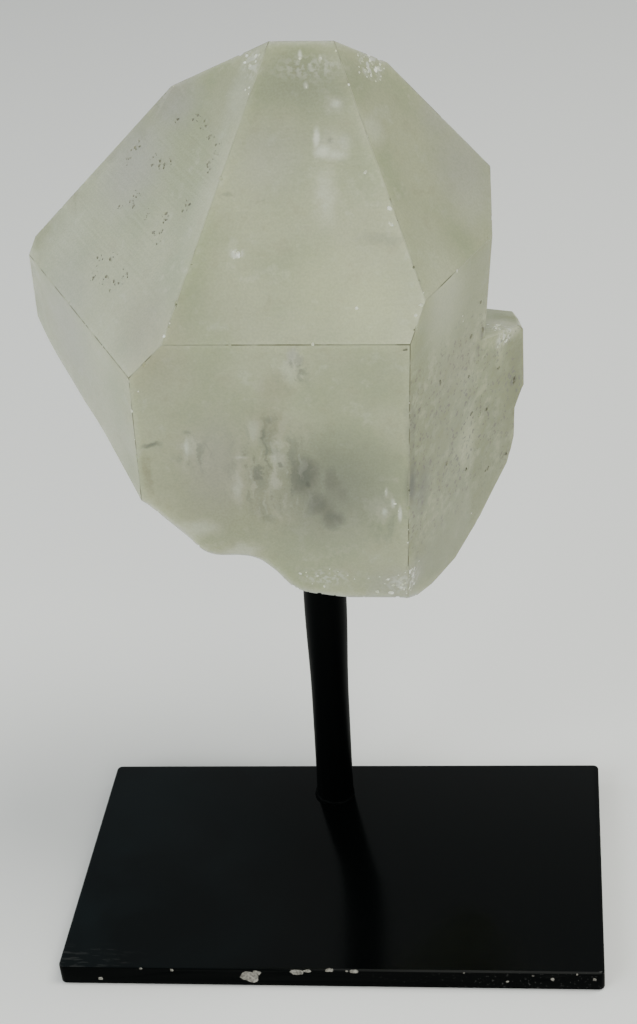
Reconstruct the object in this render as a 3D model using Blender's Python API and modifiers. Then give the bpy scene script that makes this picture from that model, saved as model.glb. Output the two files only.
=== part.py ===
"""Quartz crystal on a black steel stand.

Metres, +Z up. The origin is the centre of the plate's underside, +X runs along the plate's long side
and -Y is the front. The crystal is described in its own frame: its long growth axis is local +Z and
its front prism face looks along local -Y. Every crystal face is a plane at a distance from one centre.
"""

import math
import random

import bmesh
import bpy
from mathutils import Euler, Matrix, Vector, noise

MM = 0.001

# stand
PLATE_WIDTH = 110.0 * MM
PLATE_DEPTH = 63.8 * MM
PLATE_THICKNESS = 4.75 * MM
PLATE_CORNER_RADIUS = 1.2 * MM
PLATE_EDGE_BEVEL = 0.4 * MM
GAP = 0.3 * MM

ROD_FOOT = (-3.3 * MM, 22.5 * MM)
ROD_LEAN_X = math.radians(2.4)
ROD_LEAN_Y = math.radians(-0.2)
ROD_FOOT_RADIUS = 4.0 * MM
ROD_TOP_RADIUS = 4.5 * MM
ROD_FLARE = (26.0 * MM, 52.0 * MM)  # heights between which the rod widens to its top radius
ROD_LENGTH = 100.3 * MM
ROD_TIP_CHAMFER = 0.6 * MM
WELD_RADIUS = 0.8 * MM

# crystal placement
CRYSTAL_CENTRE = (1.1 * MM, 22.2 * MM, 109.2 * MM)
CRYSTAL_TURN = (math.radians(7.9), math.radians(4.0), math.radians(4.1))
TERMINATION_ANGLE = math.radians(51.79)  # between the growth axis and the normal of a tip face

# distance of each face from the crystal's centre, by azimuth from the front in degrees
TIP_FACES = {0: 47.8 * MM, 60: 50.0 * MM, 120: 51.1 * MM, 180: 41.9 * MM, 240: 55.5 * MM, 300: 50.1 * MM}
SIDE_FACES = {0: 35.5 * MM, 60: 33.7 * MM, 180: 29.5 * MM, 240: 48.6 * MM, 300: 43.8 * MM}
# planes that aren't growth faces: (normal, distance)
CONTACT_FACES = (
    ((1.0, 0.04, -0.038), 31.2 * MM),
    ((0.8, 0.6, 0.05), 37.0 * MM),
    ((0.75, 0.1, 0.65), 56.4 * MM),
    ((-0.94, 0.1, 0.3), 59.0 * MM),
    ((0.0, 0.0, -1.0), 48.0 * MM),
)
EDGE_WEAR = 0.25 * MM

# small crystal grown into the right side
GROWTH_FACES = (
    ((0.81, -0.585, 0.0), 33.2 * MM),
    ((0.05, 0.34, 0.94), 14.1 * MM),
    ((0.8, 0.2, 0.55), 38.9 * MM),
    ((0.985, 0.15, 0.07), 40.3 * MM),
    ((0.25, 0.97, 0.0), 18.0 * MM),
    ((-1.0, 0.0, 0.0), -24.0 * MM),
    ((0.0, 0.0, -1.0), 45.0 * MM),
)

# outline of the broken lower end, as (x, z) in the crystal's frame, from the left to the right
BREAK_OUTLINE = (
    (-78, 26), (-56.4, 10.3), (-50.5, 5.2), (-45, 5.1), (-40, 4.6), (-35.5, 1.8), (-31, -1.2), (-28, -3.4),
    (-22.6, -9.8), (-19, -14.8), (-14, -15), (-10.5, -14.8), (-7.5, -17), (-2, -23.7), (7, -25.4),
    (17, -25.4), (20, -27.2), (23, -29.2), (26.5, -30.2), (33, -26), (38.2, -20), (39.4, -15),
    (39.3, -8), (40.6, -5), (46, 1), (75, 12),
)
BREAK_STEP = 2.4 * MM
BREAK_DEPTH = (-52.0 * MM, 48.0 * MM)
BREAK_RISE = 0.22  # how much the break climbs towards the back
RIM_DEPTH = (4.0 * MM, 30.0 * MM)  # behind the front faces, the outline gives way to scoops between these
SMOOTHING = 16.0 * MM  # reach of the smoothing that the outline has behind its rim
SCOOP_SIZE = 15.0 * MM  # width of one shell-shaped scoop of the break
SCOOP_DEPTH = 4.0 * MM
SCOOP_STEP = 3.4 * MM  # most that one scoop's floor lies above or below the next
GRAIN = 0.5 * MM

# wear: (face, face, how many chips, smallest and largest radius in mm)
CHIPPED_EDGES = (
    (("tip", 0), ("tip", 180), 6, 0.7, 1.5),
    (("tip", 60), ("tip", 180), 7, 0.6, 1.5),
    (("tip", 60), ("tip", 120), 5, 0.6, 1.3),
    (("tip", 300), ("tip", 180), 6, 0.6, 1.2),
    (("tip", 300), ("tip", 240), 7, 0.5, 1.3),
    (("tip", 0), ("tip", 60), 5, 0.4, 0.9),
    (("tip", 0), ("tip", 300), 3, 0.4, 0.8),
    (("side", 0), ("side", 60), 12, 0.5, 1.3),
    (("side", 0), ("side", 300), 5, 0.5, 1.1),
    (("side", 180), ("side", 240), 6, 0.6, 1.4),
    (("tip", 180), ("side", 180), 5, 0.5, 1.2),
)
# pits: (face, how many, span across the face, span along the growth axis), both spans in mm
PITTED_FACES = (
    ((0.866, -0.5, 0.0), 33.7 * MM, 44, (-22, 8), (-26, 22)),
    ((0.81, -0.585, 0.0), 33.2 * MM, 8, (12, 18), (-18, 4)),
    ((-0.68, -0.39, 0.62), 50.0 * MM, 12, (-16, 10), (0, 30)),
)
PIT_RADIUS = (0.3, 0.7)
SEED = 11

PARTS = "Quartz crystal on stand"
CUTTERS = "Cutters"


def clear_scene():
    for obj in list(bpy.data.objects):
        bpy.data.objects.remove(obj, do_unlink=True)


def collection(name):
    made = bpy.data.collections.new(name)
    bpy.context.scene.collection.children.link(made)
    return made


def material(name, colour, roughness, metallic=0.0, transmission=0.0):
    made = bpy.data.materials.new(name)
    made.use_nodes = True
    shader = made.node_tree.nodes["Principled BSDF"]
    shader.inputs["Base Color"].default_value = (*colour, 1.0)
    shader.inputs["Roughness"].default_value = roughness
    shader.inputs["Metallic"].default_value = metallic
    shader.inputs["Transmission Weight"].default_value = transmission
    return made


def object_from(bm, name, where, mat=None):
    mesh = bpy.data.meshes.new(name)
    bm.to_mesh(mesh)
    bm.free()
    obj = bpy.data.objects.new(name, mesh)
    where.objects.link(obj)
    if mat:
        mesh.materials.append(mat)
    return obj


def as_cutter(obj):
    obj.hide_render = True
    obj.display_type = "WIRE"
    return obj


def boolean(target, other, operation):
    modifier = target.modifiers.new(operation.title() + " " + other.name, "BOOLEAN")
    modifier.operation = operation
    modifier.object = other
    modifier.solver = "EXACT"
    return modifier


def side_normal(azimuth):
    angle = math.radians(azimuth)
    return Vector((math.sin(angle), -math.cos(angle), 0.0))


def tip_normal(azimuth):
    return side_normal(azimuth) * math.sin(TERMINATION_ANGLE) + Vector((0, 0, math.cos(TERMINATION_ANGLE)))


def planes_to_solid(planes, size=0.24):
    """A box trimmed by each plane in turn, which leaves the convex solid that all of them bound."""
    bm = bmesh.new()
    bmesh.ops.create_cube(bm, size=size)
    for normal, distance in planes:
        normal = Vector(normal).normalized()
        cut = bmesh.ops.bisect_plane(
            bm,
            geom=bm.verts[:] + bm.edges[:] + bm.faces[:],
            plane_co=normal * distance,
            plane_no=normal,
            clear_outer=True,
        )
        edges = [e for e in cut["geom_cut"] if isinstance(e, bmesh.types.BMEdge)]
        if edges:
            bmesh.ops.contextual_create(bm, geom=edges)
    bmesh.ops.remove_doubles(bm, verts=bm.verts, dist=1e-6)
    bmesh.ops.recalc_face_normals(bm, faces=bm.faces)
    return bm


def wear_edges(obj, width):
    bevel = obj.modifiers.new("Edge wear", "BEVEL")
    bevel.width = width
    bevel.segments = 1
    bevel.limit_method = "ANGLE"
    bevel.angle_limit = math.radians(8)


# ---------------------------------------------------------------- stand


def build_plate(where, mat):
    bm = bmesh.new()
    bmesh.ops.create_cube(bm, size=1.0)
    bmesh.ops.scale(bm, verts=bm.verts, vec=(PLATE_WIDTH, PLATE_DEPTH, PLATE_THICKNESS))
    bmesh.ops.translate(bm, verts=bm.verts, vec=(0, 0, PLATE_THICKNESS / 2))
    upright = [e for e in bm.edges if abs(e.verts[0].co.z - e.verts[1].co.z) > PLATE_THICKNESS / 2]
    bmesh.ops.bevel(bm, geom=upright, offset=PLATE_CORNER_RADIUS, segments=5, profile=0.5, affect="EDGES")
    plate = object_from(bm, "stand_plate", where, mat)
    edges = plate.modifiers.new("Eased edges", "BEVEL")
    edges.width = PLATE_EDGE_BEVEL
    edges.segments = 3
    edges.limit_method = "ANGLE"
    edges.angle_limit = math.radians(50)
    return plate


def rod_profile():
    """Outer side of the rod from its tip down to the weld fillet at its foot, as (radius, height)."""
    points = [(0.0, ROD_LENGTH), (ROD_TOP_RADIUS - ROD_TIP_CHAMFER, ROD_LENGTH)]
    points.append((ROD_TOP_RADIUS, ROD_LENGTH - ROD_TIP_CHAMFER))
    for step in range(6):
        share = step / 5
        ease = (1 + math.cos(math.pi * share)) / 2
        height = ROD_FLARE[1] + (ROD_FLARE[0] - ROD_FLARE[1]) * share
        points.append((ROD_FOOT_RADIUS + (ROD_TOP_RADIUS - ROD_FOOT_RADIUS) * ease, height))
    for step in range(6):
        angle = math.pi / 2 * step / 5
        radius = ROD_FOOT_RADIUS + WELD_RADIUS * (1 - math.cos(angle))
        points.append((radius, WELD_RADIUS * (1 - math.sin(angle)) + 0.3 * MM))
    points.append((ROD_FOOT_RADIUS + WELD_RADIUS, 0.0))
    points.append((0.0, 0.0))
    return points


def build_rod(where, mat):
    mesh = bpy.data.meshes.new("stand_rod")
    profile = rod_profile()
    # the foot follows the level plate, although the rod leans
    lean = Euler((ROD_LEAN_Y, ROD_LEAN_X, 0.0)).to_matrix()
    mesh.from_pydata([(r, 0.0, z) for r, z in profile], [(i, i + 1) for i in range(len(profile) - 1)], [])
    rod = bpy.data.objects.new("stand_rod", mesh)
    where.objects.link(rod)
    mesh.materials.append(mat)
    turn = rod.modifiers.new("Turned", "SCREW")
    turn.steps = turn.render_steps = 40
    turn.use_merge_vertices = True
    turn.merge_threshold = 0.00002
    foot = Vector((ROD_FOOT[0], ROD_FOOT[1], PLATE_THICKNESS + GAP + 0.3 * MM))
    rod.matrix_world = Matrix.Translation(foot) @ lean.to_4x4()
    return rod


# -------------------------------------------------------------- crystal


def crystal_planes():
    planes = [(tip_normal(a), d) for a, d in TIP_FACES.items()]
    planes += [(side_normal(a), d) for a, d in SIDE_FACES.items()]
    return planes + list(CONTACT_FACES)


def plane_of(kind, azimuth):
    if kind == "tip":
        return tip_normal(azimuth), TIP_FACES[azimuth]
    return side_normal(azimuth), SIDE_FACES[azimuth]


def outline_points():
    """The break's outline at the front rim, resampled at an even step."""
    corners = [Vector((x * MM, 0.0, z * MM)) for x, z in BREAK_OUTLINE]
    points = []
    for start, end in zip(corners, corners[1:]):
        count = max(1, round((end - start).length / BREAK_STEP))
        points += [start.lerp(end, i / count) for i in range(count)]
    return points + [corners[-1]]


def smoothed(points):
    """The same outline with its jags averaged out, as it runs behind the rim."""
    reach = round(SMOOTHING / BREAK_STEP)
    result = []
    for index in range(len(points)):
        side = min(reach, index, len(points) - 1 - index)
        near = points[index - side : index + side + 1]
        result.append(sum(near, Vector()) / len(near))
    return result


def front_at(x):
    """Where the crystal's front faces lie at x, in the crystal's frame."""
    normals = {azimuth: side_normal(azimuth) for azimuth in (0, 60, 300)}
    return max((n.x * x - SIDE_FACES[azimuth]) / -n.y for azimuth, n in normals.items())


def scoop_height(where):
    """Height of the break at a point: hollow scoops that meet in ridges, at stepped levels."""
    distances, centres = noise.voronoi(where / SCOOP_SIZE)
    bowl = distances[0] ** 2 - 0.25
    level = noise.noise(centres[0] * 3.7)
    grain = noise.fractal(where * 160.0, 1.0, 2.1, 3)
    return SCOOP_DEPTH * bowl + SCOOP_STEP * level + GRAIN * grain


def build_break_cutter(where):
    """A rough sheet along the outline, thickened outwards into the block that the break removes."""
    rim = outline_points()
    inner = smoothed(rim)
    rows = round((BREAK_DEPTH[1] - BREAK_DEPTH[0]) / (BREAK_STEP * 1.25))
    bm = bmesh.new()
    bmesh.ops.create_grid(bm, x_segments=len(rim) - 1, y_segments=rows, size=0.5)
    core = Vector((0.0, 0.0, 12.0 * MM))
    for vert in bm.verts:
        column = round((vert.co.x + 0.5) * (len(rim) - 1))
        y = BREAK_DEPTH[0] + (vert.co.y + 0.5) * (BREAK_DEPTH[1] - BREAK_DEPTH[0])
        behind = y - front_at(rim[column].x) - RIM_DEPTH[0]
        inside = min(1.0, max(0.0, behind / (RIM_DEPTH[1] - RIM_DEPTH[0])))
        point = rim[column].lerp(inner[column], inside)
        out = (point - core).normalized()
        place = point + out * scoop_height(Vector((point.x, y, point.z))) * (0.12 + 0.88 * inside)
        rise = BREAK_RISE * max(0.0, y + 14.0 * MM)
        vert.co = Vector((place.x, y, place.z + rise))
    far = bmesh.ops.extrude_face_region(bm, geom=bm.faces[:])
    for vert in (v for v in far["geom"] if isinstance(v, bmesh.types.BMVert)):
        away = Vector((vert.co.x, 0.0, vert.co.z)) - core
        vert.co += away.normalized() * 60.0 * MM
    bmesh.ops.recalc_face_normals(bm, faces=bm.faces)
    return as_cutter(object_from(bm, "break cutter", where))


def build_hole_cutter(where, rod):
    """A round hole along the rod's own axis, drilled up from the broken end."""
    bm = bmesh.new()
    low, high = ROD_LENGTH * 0.45, ROD_LENGTH + GAP
    bmesh.ops.create_cone(
        bm,
        cap_ends=True,
        segments=32,
        radius1=ROD_TOP_RADIUS + GAP,
        radius2=ROD_TOP_RADIUS + GAP,
        depth=high - low,
        matrix=Matrix.Translation((0, 0, (low + high) / 2)),
    )
    cutter = as_cutter(object_from(bm, "hole cutter", where))
    cutter.matrix_world = rod.matrix_world
    return cutter


def edge_between(first, second):
    """The visible stretch of the line where two faces meet, as its two ends."""
    (n1, d1), (n2, d2) = plane_of(*first), plane_of(*second)
    along = n1.cross(n2).normalized()
    base = Matrix((n1, n2, along)).inverted() @ Vector((d1, d2, 0.0))
    low, high = -0.2, 0.2
    for normal, distance in crystal_planes():
        normal = Vector(normal).normalized()
        rate, room = normal.dot(along), distance - normal.dot(base) + 1e-6
        if rate > 1e-4:
            high = min(high, room / rate)
        elif rate < -1e-4:
            low = max(low, room / rate)
    return base + along * low, base + along * high


def add_chip(bm, centre, radius, rng, flat=0.6):
    turn = Euler([rng.uniform(0, 6.28) for _ in range(3)]).to_matrix().to_4x4()
    shape = Matrix.Diagonal((radius, radius * rng.uniform(0.6, 1.1), radius * flat, 1.0))
    bmesh.ops.create_icosphere(bm, subdivisions=1, radius=1.0, matrix=Matrix.Translation(centre) @ turn @ shape)


def far_from(points, centre, radius):
    return all((centre - other).length > radius + size for other, size in points)


def build_chip_cutter(where):
    """Chips along the worn edges and pits in the right side, each a small faceted bite."""
    rng = random.Random(SEED)
    bm = bmesh.new()
    placed = []
    for first, second, count, small, large in CHIPPED_EDGES:
        start, end = edge_between(first, second)
        outwards = (plane_of(*first)[0] + plane_of(*second)[0]).normalized()
        for _ in range(count):
            radius = rng.uniform(small, large) * MM
            centre = start.lerp(end, rng.uniform(0.03, 0.97)) + outwards * radius * rng.uniform(0.1, 0.45)
            if far_from(placed, centre, radius):
                placed.append((centre, radius))
                add_chip(bm, centre, radius, rng)
    for face, distance, count, wide, high in PITTED_FACES:
        normal = Vector(face).normalized()
        across = Vector((0, 0, 1)).cross(normal).normalized()
        upwards = normal.cross(across)
        for _ in range(count):
            radius = rng.uniform(*PIT_RADIUS) * MM
            spot = normal * distance + across * rng.uniform(*wide) * MM + upwards * rng.uniform(*high) * MM
            centre = spot + normal * radius * rng.uniform(0.0, 0.25)
            if far_from(placed, centre, radius):
                placed.append((centre, radius))
                add_chip(bm, centre, radius, rng, flat=0.8)
    bmesh.ops.recalc_face_normals(bm, faces=bm.faces)
    return as_cutter(object_from(bm, "chip cutter", where))


def build_crystal(parts, cutters, mat, rod):
    place = Matrix.Translation(CRYSTAL_CENTRE) @ Euler(CRYSTAL_TURN).to_matrix().to_4x4()
    crystal = object_from(planes_to_solid(crystal_planes()), "quartz_crystal", parts, mat)
    wear_edges(crystal, EDGE_WEAR)
    growth = as_cutter(object_from(planes_to_solid(GROWTH_FACES), "side growth", cutters))
    wear_edges(growth, EDGE_WEAR)
    broken = build_break_cutter(cutters)
    chips = build_chip_cutter(cutters)
    for obj in (crystal, growth, broken, chips):
        obj.matrix_world = place
    hole = build_hole_cutter(cutters, rod)
    boolean(crystal, growth, "UNION")
    boolean(crystal, broken, "DIFFERENCE")
    boolean(crystal, hole, "DIFFERENCE")
    boolean(crystal, chips, "DIFFERENCE")
    return crystal


clear_scene()
parts_collection = collection(PARTS)
cutters_collection = collection(CUTTERS)
black_paint = material("Black satin paint", (0.012, 0.014, 0.015), 0.38)
quartz = material("Cloudy quartz", (0.62, 0.64, 0.55), 0.12, transmission=0.7)
build_plate(parts_collection, black_paint)
the_rod = build_rod(parts_collection, black_paint)
bpy.context.view_layer.update()
build_crystal(parts_collection, cutters_collection, quartz, the_rod)
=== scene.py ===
import math
import random

import bmesh
import bpy
from mathutils import Euler, Matrix, Vector, noise


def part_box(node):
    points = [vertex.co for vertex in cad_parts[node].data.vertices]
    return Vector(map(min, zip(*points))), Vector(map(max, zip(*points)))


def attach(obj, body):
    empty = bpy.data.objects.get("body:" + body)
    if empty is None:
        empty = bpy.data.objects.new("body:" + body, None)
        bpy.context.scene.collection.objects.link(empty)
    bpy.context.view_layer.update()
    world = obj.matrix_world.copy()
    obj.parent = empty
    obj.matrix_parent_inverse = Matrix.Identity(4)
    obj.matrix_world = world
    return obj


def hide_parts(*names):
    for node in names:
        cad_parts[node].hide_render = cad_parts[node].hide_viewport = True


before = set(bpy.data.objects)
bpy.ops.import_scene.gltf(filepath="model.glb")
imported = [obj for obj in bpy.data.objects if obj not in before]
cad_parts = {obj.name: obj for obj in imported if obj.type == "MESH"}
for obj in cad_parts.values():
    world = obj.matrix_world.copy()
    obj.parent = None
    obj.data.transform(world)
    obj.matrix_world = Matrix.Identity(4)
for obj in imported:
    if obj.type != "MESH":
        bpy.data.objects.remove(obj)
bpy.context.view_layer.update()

scene = bpy.context.scene
MM = 0.001

# ---------------------------------------------------------------------------------------------
# Studio. The camera looks down on the stand from a little to its right, over a matt pale table top.
# Four broad soft lamps stand at the front left and right, at the left side and overhead, in a dim room.
# ---------------------------------------------------------------------------------------------
CAMERA_PLACE = (0.0515, -0.3034, 0.2792)
CAMERA_ACROSS = Vector((0.99064, 0.10390, -0.08848))
CAMERA_UPWARDS = Vector((0.02063, 0.52685, 0.84971))
FRAME_HEIGHT = 36.0  # of the camera's sensor, in mm
FOCAL_SHARE = 1.8555  # focal length as a share of the frame's height
TABLE_TOP_DROP = 0.2 * MM
ROOM_COLOUR, ROOM_BRIGHTNESS = (0.75, 0.79, 0.78, 1.0), 0.46
# the lamps: (name, place, what it is turned to, width, power, colour)
LAMPS = (
    ("left front softbox", (-0.75, -0.80, 0.60), (0.0, 0.02, 0.1), 0.8, 7.5, (0.94, 0.99, 1.0)),
    ("right front softbox", (0.40, -1.00, 0.62), (0.0, 0.02, 0.1), 0.8, 5.8, (1.0, 1.0, 0.91)),
    ("left side softbox", (-1.1, 0.00, 0.35), (0.0, 0.02, 0.1), 0.8, 4.5, (0.93, 0.98, 1.0)),
    ("top softbox", (0.45, 0.00, 1.05), (0.0, 0.02, 0.0), 0.6, 8.8, (0.99, 1.0, 0.93)),
)

camera_data = bpy.data.cameras.new("camera")
camera_data.sensor_fit = "VERTICAL"
camera_data.sensor_height = FRAME_HEIGHT
camera_data.lens = FRAME_HEIGHT * FOCAL_SHARE
camera_data.clip_start = 0.01
camera = bpy.data.objects.new("camera", camera_data)
scene.collection.objects.link(camera)
backwards = CAMERA_ACROSS.cross(CAMERA_UPWARDS).normalized()
axes = (CAMERA_ACROSS.normalized(), backwards.cross(CAMERA_ACROSS).normalized(), backwards)
camera.matrix_world = Matrix.Translation(CAMERA_PLACE) @ Matrix(axes).transposed().to_4x4()
scene.camera = camera

for name, place, target, width, power, colour in LAMPS:
    lamp_data = bpy.data.lights.new(name, "AREA")
    lamp_data.shape = "DISK"
    lamp_data.size = width
    lamp_data.energy = power
    lamp_data.color = colour
    lamp = bpy.data.objects.new(name, lamp_data)
    scene.collection.objects.link(lamp)
    lamp.location = place
    lamp.rotation_euler = (Vector(target) - Vector(place)).to_track_quat("-Z", "Y").to_euler()

room = bpy.data.worlds.new("dim room")
room.use_nodes = True
all_round = room.node_tree.nodes["Background"].inputs
all_round["Color"].default_value = ROOM_COLOUR
all_round["Strength"].default_value = ROOM_BRIGHTNESS
scene.world = room


def finish_of(name):
    """A new material with its tree and its Principled shader."""
    made = bpy.data.materials.new(name)
    made.use_nodes = True
    return made, made.node_tree, made.node_tree.nodes["Principled BSDF"]


def piece_from(name, bm, *finishes):
    mesh = bpy.data.meshes.new(name)
    bm.to_mesh(mesh)
    bm.free()
    for finish in finishes:
        mesh.materials.append(finish)
    made = bpy.data.objects.new(name, mesh)
    scene.collection.objects.link(made)
    return made


table_finish, tree, shader = finish_of("pale table top")
shader.inputs["Base Color"].default_value = (0.87, 0.87, 0.86, 1.0)
shader.inputs["Roughness"].default_value = 0.9
shader.inputs["Specular IOR Level"].default_value = 0.1
bm = bmesh.new()
bmesh.ops.create_grid(bm, x_segments=1, y_segments=1, size=3.0)
bmesh.ops.translate(bm, verts=bm.verts, vec=(0.0, 0.0, -TABLE_TOP_DROP))
table_top = piece_from("table_top", bm, table_finish)

# ---------------------------------------------------------------------------------------------
# Stand plate. A length of flat steel bar with its corners and edges eased, sprayed satin black.
# The paint has chipped along the front edge down to pale filler, and holds scuffs and specks.
# Its left side is painted lighter as a painted sheen, and its upper front edge carries a painted highlight.
# ---------------------------------------------------------------------------------------------
PLATE_CORNER = 1.2 * MM
PLATE_EASING = 0.4 * MM
PAINT_BLACK = (0.0009, 0.0013, 0.0013, 1.0)
PAINTED_SHEEN_TINT = (0.0032, 0.0058, 0.0068, 1.0)  # painted sheen: a bluish grey mixed in towards the left, where the satin paint catches more light
# worn paint for the scuffs and speckles, and also the colour of the painted highlight on the upper front
# edge
PAINT_WORN_AND_HIGHLIGHT = (0.12, 0.12, 0.115, 1.0)
FILLER_GREY = (0.30, 0.285, 0.25, 1.0)
# chips in the front edge: (place along it, below its top, width, height, depth), all in mm
PAINT_CHIPS = (
    (-15.6, 2.2, 4.4, 3.6, 0.22), (-14.2, 1.2, 2.2, 1.8, 0.2), (-5.9, 0.7, 3.4, 2.0, 0.22),
    (-3.8, 0.3, 2.0, 1.3, 0.2), (0.7, -0.1, 2.0, 1.6, 0.5), (5.6, 0.3, 2.0, 1.4, 0.3),
    (4.2, 0.35, 0.7, 0.5, 0.16), (-31.4, 0.6, 1.0, 0.9, 0.16), (-34.4, -0.1, 0.6, 0.6, 0.16),
    (-37.8, 0.3, 0.8, 0.5, 0.16), (-46.5, 3.2, 1.3, 1.0, 0.16), (27.5, 0.4, 0.5, 0.4, 0.14),
    (36.0, 2.6, 0.8, 0.6, 0.14), (41.0, 1.0, 0.7, 0.5, 0.14), (44.8, 1.9, 0.9, 1.1, 0.14),
    (49.6, 0.5, 0.5, 0.6, 0.14), (53.0, 1.8, 0.9, 1.0, 0.14),
)


def wire(tree, kind, inputs=(), **settings):
    """A new node: settings are its properties, inputs are values or sockets by name or by number."""
    made = tree.nodes.new(kind)
    for name, value in settings.items():
        setattr(made, name, value)
    for name, value in dict(inputs).items():
        if isinstance(value, bpy.types.NodeSocket):
            tree.links.new(value, made.inputs[name])
        else:
            made.inputs[name].default_value = value
    return made


def noise_at(tree, place, scale, detail=2.0, **others):
    """The two outputs of a noise texture: its value and its colour."""
    inputs = {"Vector": place, "Scale": scale, "Detail": detail, **others}
    return wire(tree, "ShaderNodeTexNoise", inputs).outputs


def ramp(tree, value, low, high, to_low=0.0, to_high=1.0, easing="LINEAR"):
    """value carried from low..high to to_low..to_high, and held beyond."""
    inputs = {"Value": value, 1: low, 2: high, 3: to_low, 4: to_high}
    return wire(tree, "ShaderNodeMapRange", inputs, interpolation_type=easing).outputs[0]


def calculated(tree, operation, first, second):
    return wire(tree, "ShaderNodeMath", {0: first, 1: second}, operation=operation).outputs[0]


def product(tree, *values):
    result = values[0]
    for value in values[1:]:
        result = calculated(tree, "MULTIPLY", result, value)
    return result


def mixed(tree, share, first, second):
    return wire(tree, "ShaderNodeMix", {0: share, 6: first, 7: second}, data_type="RGBA").outputs[2]


def black_paint(name, shine, roughness, painted_sheen, scuffs, speckles, edge_band):
    """Spray paint with fine orange peel; scuffed at the plate's near left corner, speckled at its right. A
    painted sheen lightens it towards the left and a painted highlight runs along its upper front edge.
    """
    finish, tree, shader = finish_of(name)
    place = wire(tree, "ShaderNodeTexCoord").outputs["Object"]
    x, y, z = wire(tree, "ShaderNodeSeparateXYZ", {0: place}).outputs
    smears = noise_at(tree, place, 40.0, 3.0, Distortion=0.5)[0]
    # painted sheen: the paint made lighter and bluish towards the left, in streaks
    left = ramp(tree, x, -6 * MM, -45 * MM, 0.0, painted_sheen)
    sheen_share = product(tree, left, ramp(tree, smears, 0.35, 0.6, 0.3, 1.0))
    # hairline scuffs at the near left corner
    turned = {"Vector": place, "Rotation": (0.0, 0.0, 0.5), "Scale": (260.0, 1300.0, 1300.0)}
    hairs = noise_at(tree, wire(tree, "ShaderNodeMapping", turned).outputs[0], 1.0)[0]
    left = ramp(tree, x, -36 * MM, -50 * MM, 0.0, scuffs)
    near = ramp(tree, y, -25 * MM, -29 * MM)
    scuff = product(tree, ramp(tree, hairs, 0.54, 0.74), left, near)
    # speckles, more of them towards the right
    specks = noise_at(tree, place, 1900.0)[0]
    right = ramp(tree, x, 4 * MM, 45 * MM, 0.0, speckles)
    speck = product(tree, ramp(tree, specks, 0.65, 0.74), right)
    # painted highlight: a thin light line along the plate's upper front edge, on the right
    front = ramp(tree, y, -31.5 * MM, -31.7 * MM, 0.0, edge_band)
    top = ramp(tree, z, 4.35 * MM, 4.45 * MM)
    highlight_line = product(tree, front, top, ramp(tree, x, -10 * MM, 20 * MM))
    marks_and_highlight = calculated(tree, "MAXIMUM", calculated(tree, "MAXIMUM", scuff, speck), highlight_line)
    colour = mixed(tree, marks_and_highlight, mixed(tree, sheen_share, PAINT_BLACK, PAINTED_SHEEN_TINT), PAINT_WORN_AND_HIGHLIGHT)
    peel = noise_at(tree, place, 1500.0)[0]
    bump = wire(tree, "ShaderNodeBump", {"Strength": 0.12, "Distance": 0.03 * MM, "Height": peel})
    gloss = ramp(tree, smears, 0.3, 0.7, roughness, roughness + 0.05)
    tree.links.new(colour, shader.inputs["Base Color"])
    tree.links.new(gloss, shader.inputs["Roughness"])
    tree.links.new(bump.outputs[0], shader.inputs["Normal"])
    shader.inputs["Specular IOR Level"].default_value = shine
    return finish


def bare_filler():
    """Matt grey-beige primer with darker grains, where the paint has flaked off."""
    finish, tree, shader = finish_of("bare filler")
    place = wire(tree, "ShaderNodeTexCoord").outputs["Object"]
    grain = noise_at(tree, place, 1800.0, 4.0)[0]
    dark = tuple(0.3 * part for part in FILLER_GREY[:3]) + (1.0,)
    colour = mixed(tree, ramp(tree, grain, 0.35, 0.65), dark, FILLER_GREY)
    tree.links.new(colour, shader.inputs["Base Color"])
    shader.inputs["Roughness"].default_value = 0.85
    return finish


def boolean(target, other, operation, crossing=False):
    """crossing: the other object's own lumps run into each other."""
    modifier = target.modifiers.new(operation.title(), "BOOLEAN")
    modifier.operation = operation
    modifier.object = other
    modifier.solver = "EXACT"
    modifier.use_self = crossing
    modifier.material_mode = "TRANSFER"


def settle(obj, *used_up):
    """Turns an object's modifiers into plain mesh, and removes the cutters they used."""
    evaluated = obj.evaluated_get(bpy.context.evaluated_depsgraph_get())
    mesh = bpy.data.meshes.new_from_object(evaluated)
    obj.modifiers.clear()
    obj.data = mesh
    for other in used_up:
        bpy.data.objects.remove(other, do_unlink=True)


def flake(bm, centre, radii, seed):
    """A closed lump with a ragged outline, which bites a flat chip out of an edge."""
    lump = bmesh.ops.create_icosphere(bm, subdivisions=3, radius=1.0)
    for vert in lump["verts"]:
        way = vert.co.normalized()
        reach = 1.0 + 0.3 * noise.fractal(way * 1.1 + Vector((seed * 3.1, 0.0, seed)), 1.0, 2.0, 3)
        vert.co = Vector(centre) + Vector([part * size * reach for part, size in zip(way, radii)])


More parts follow.
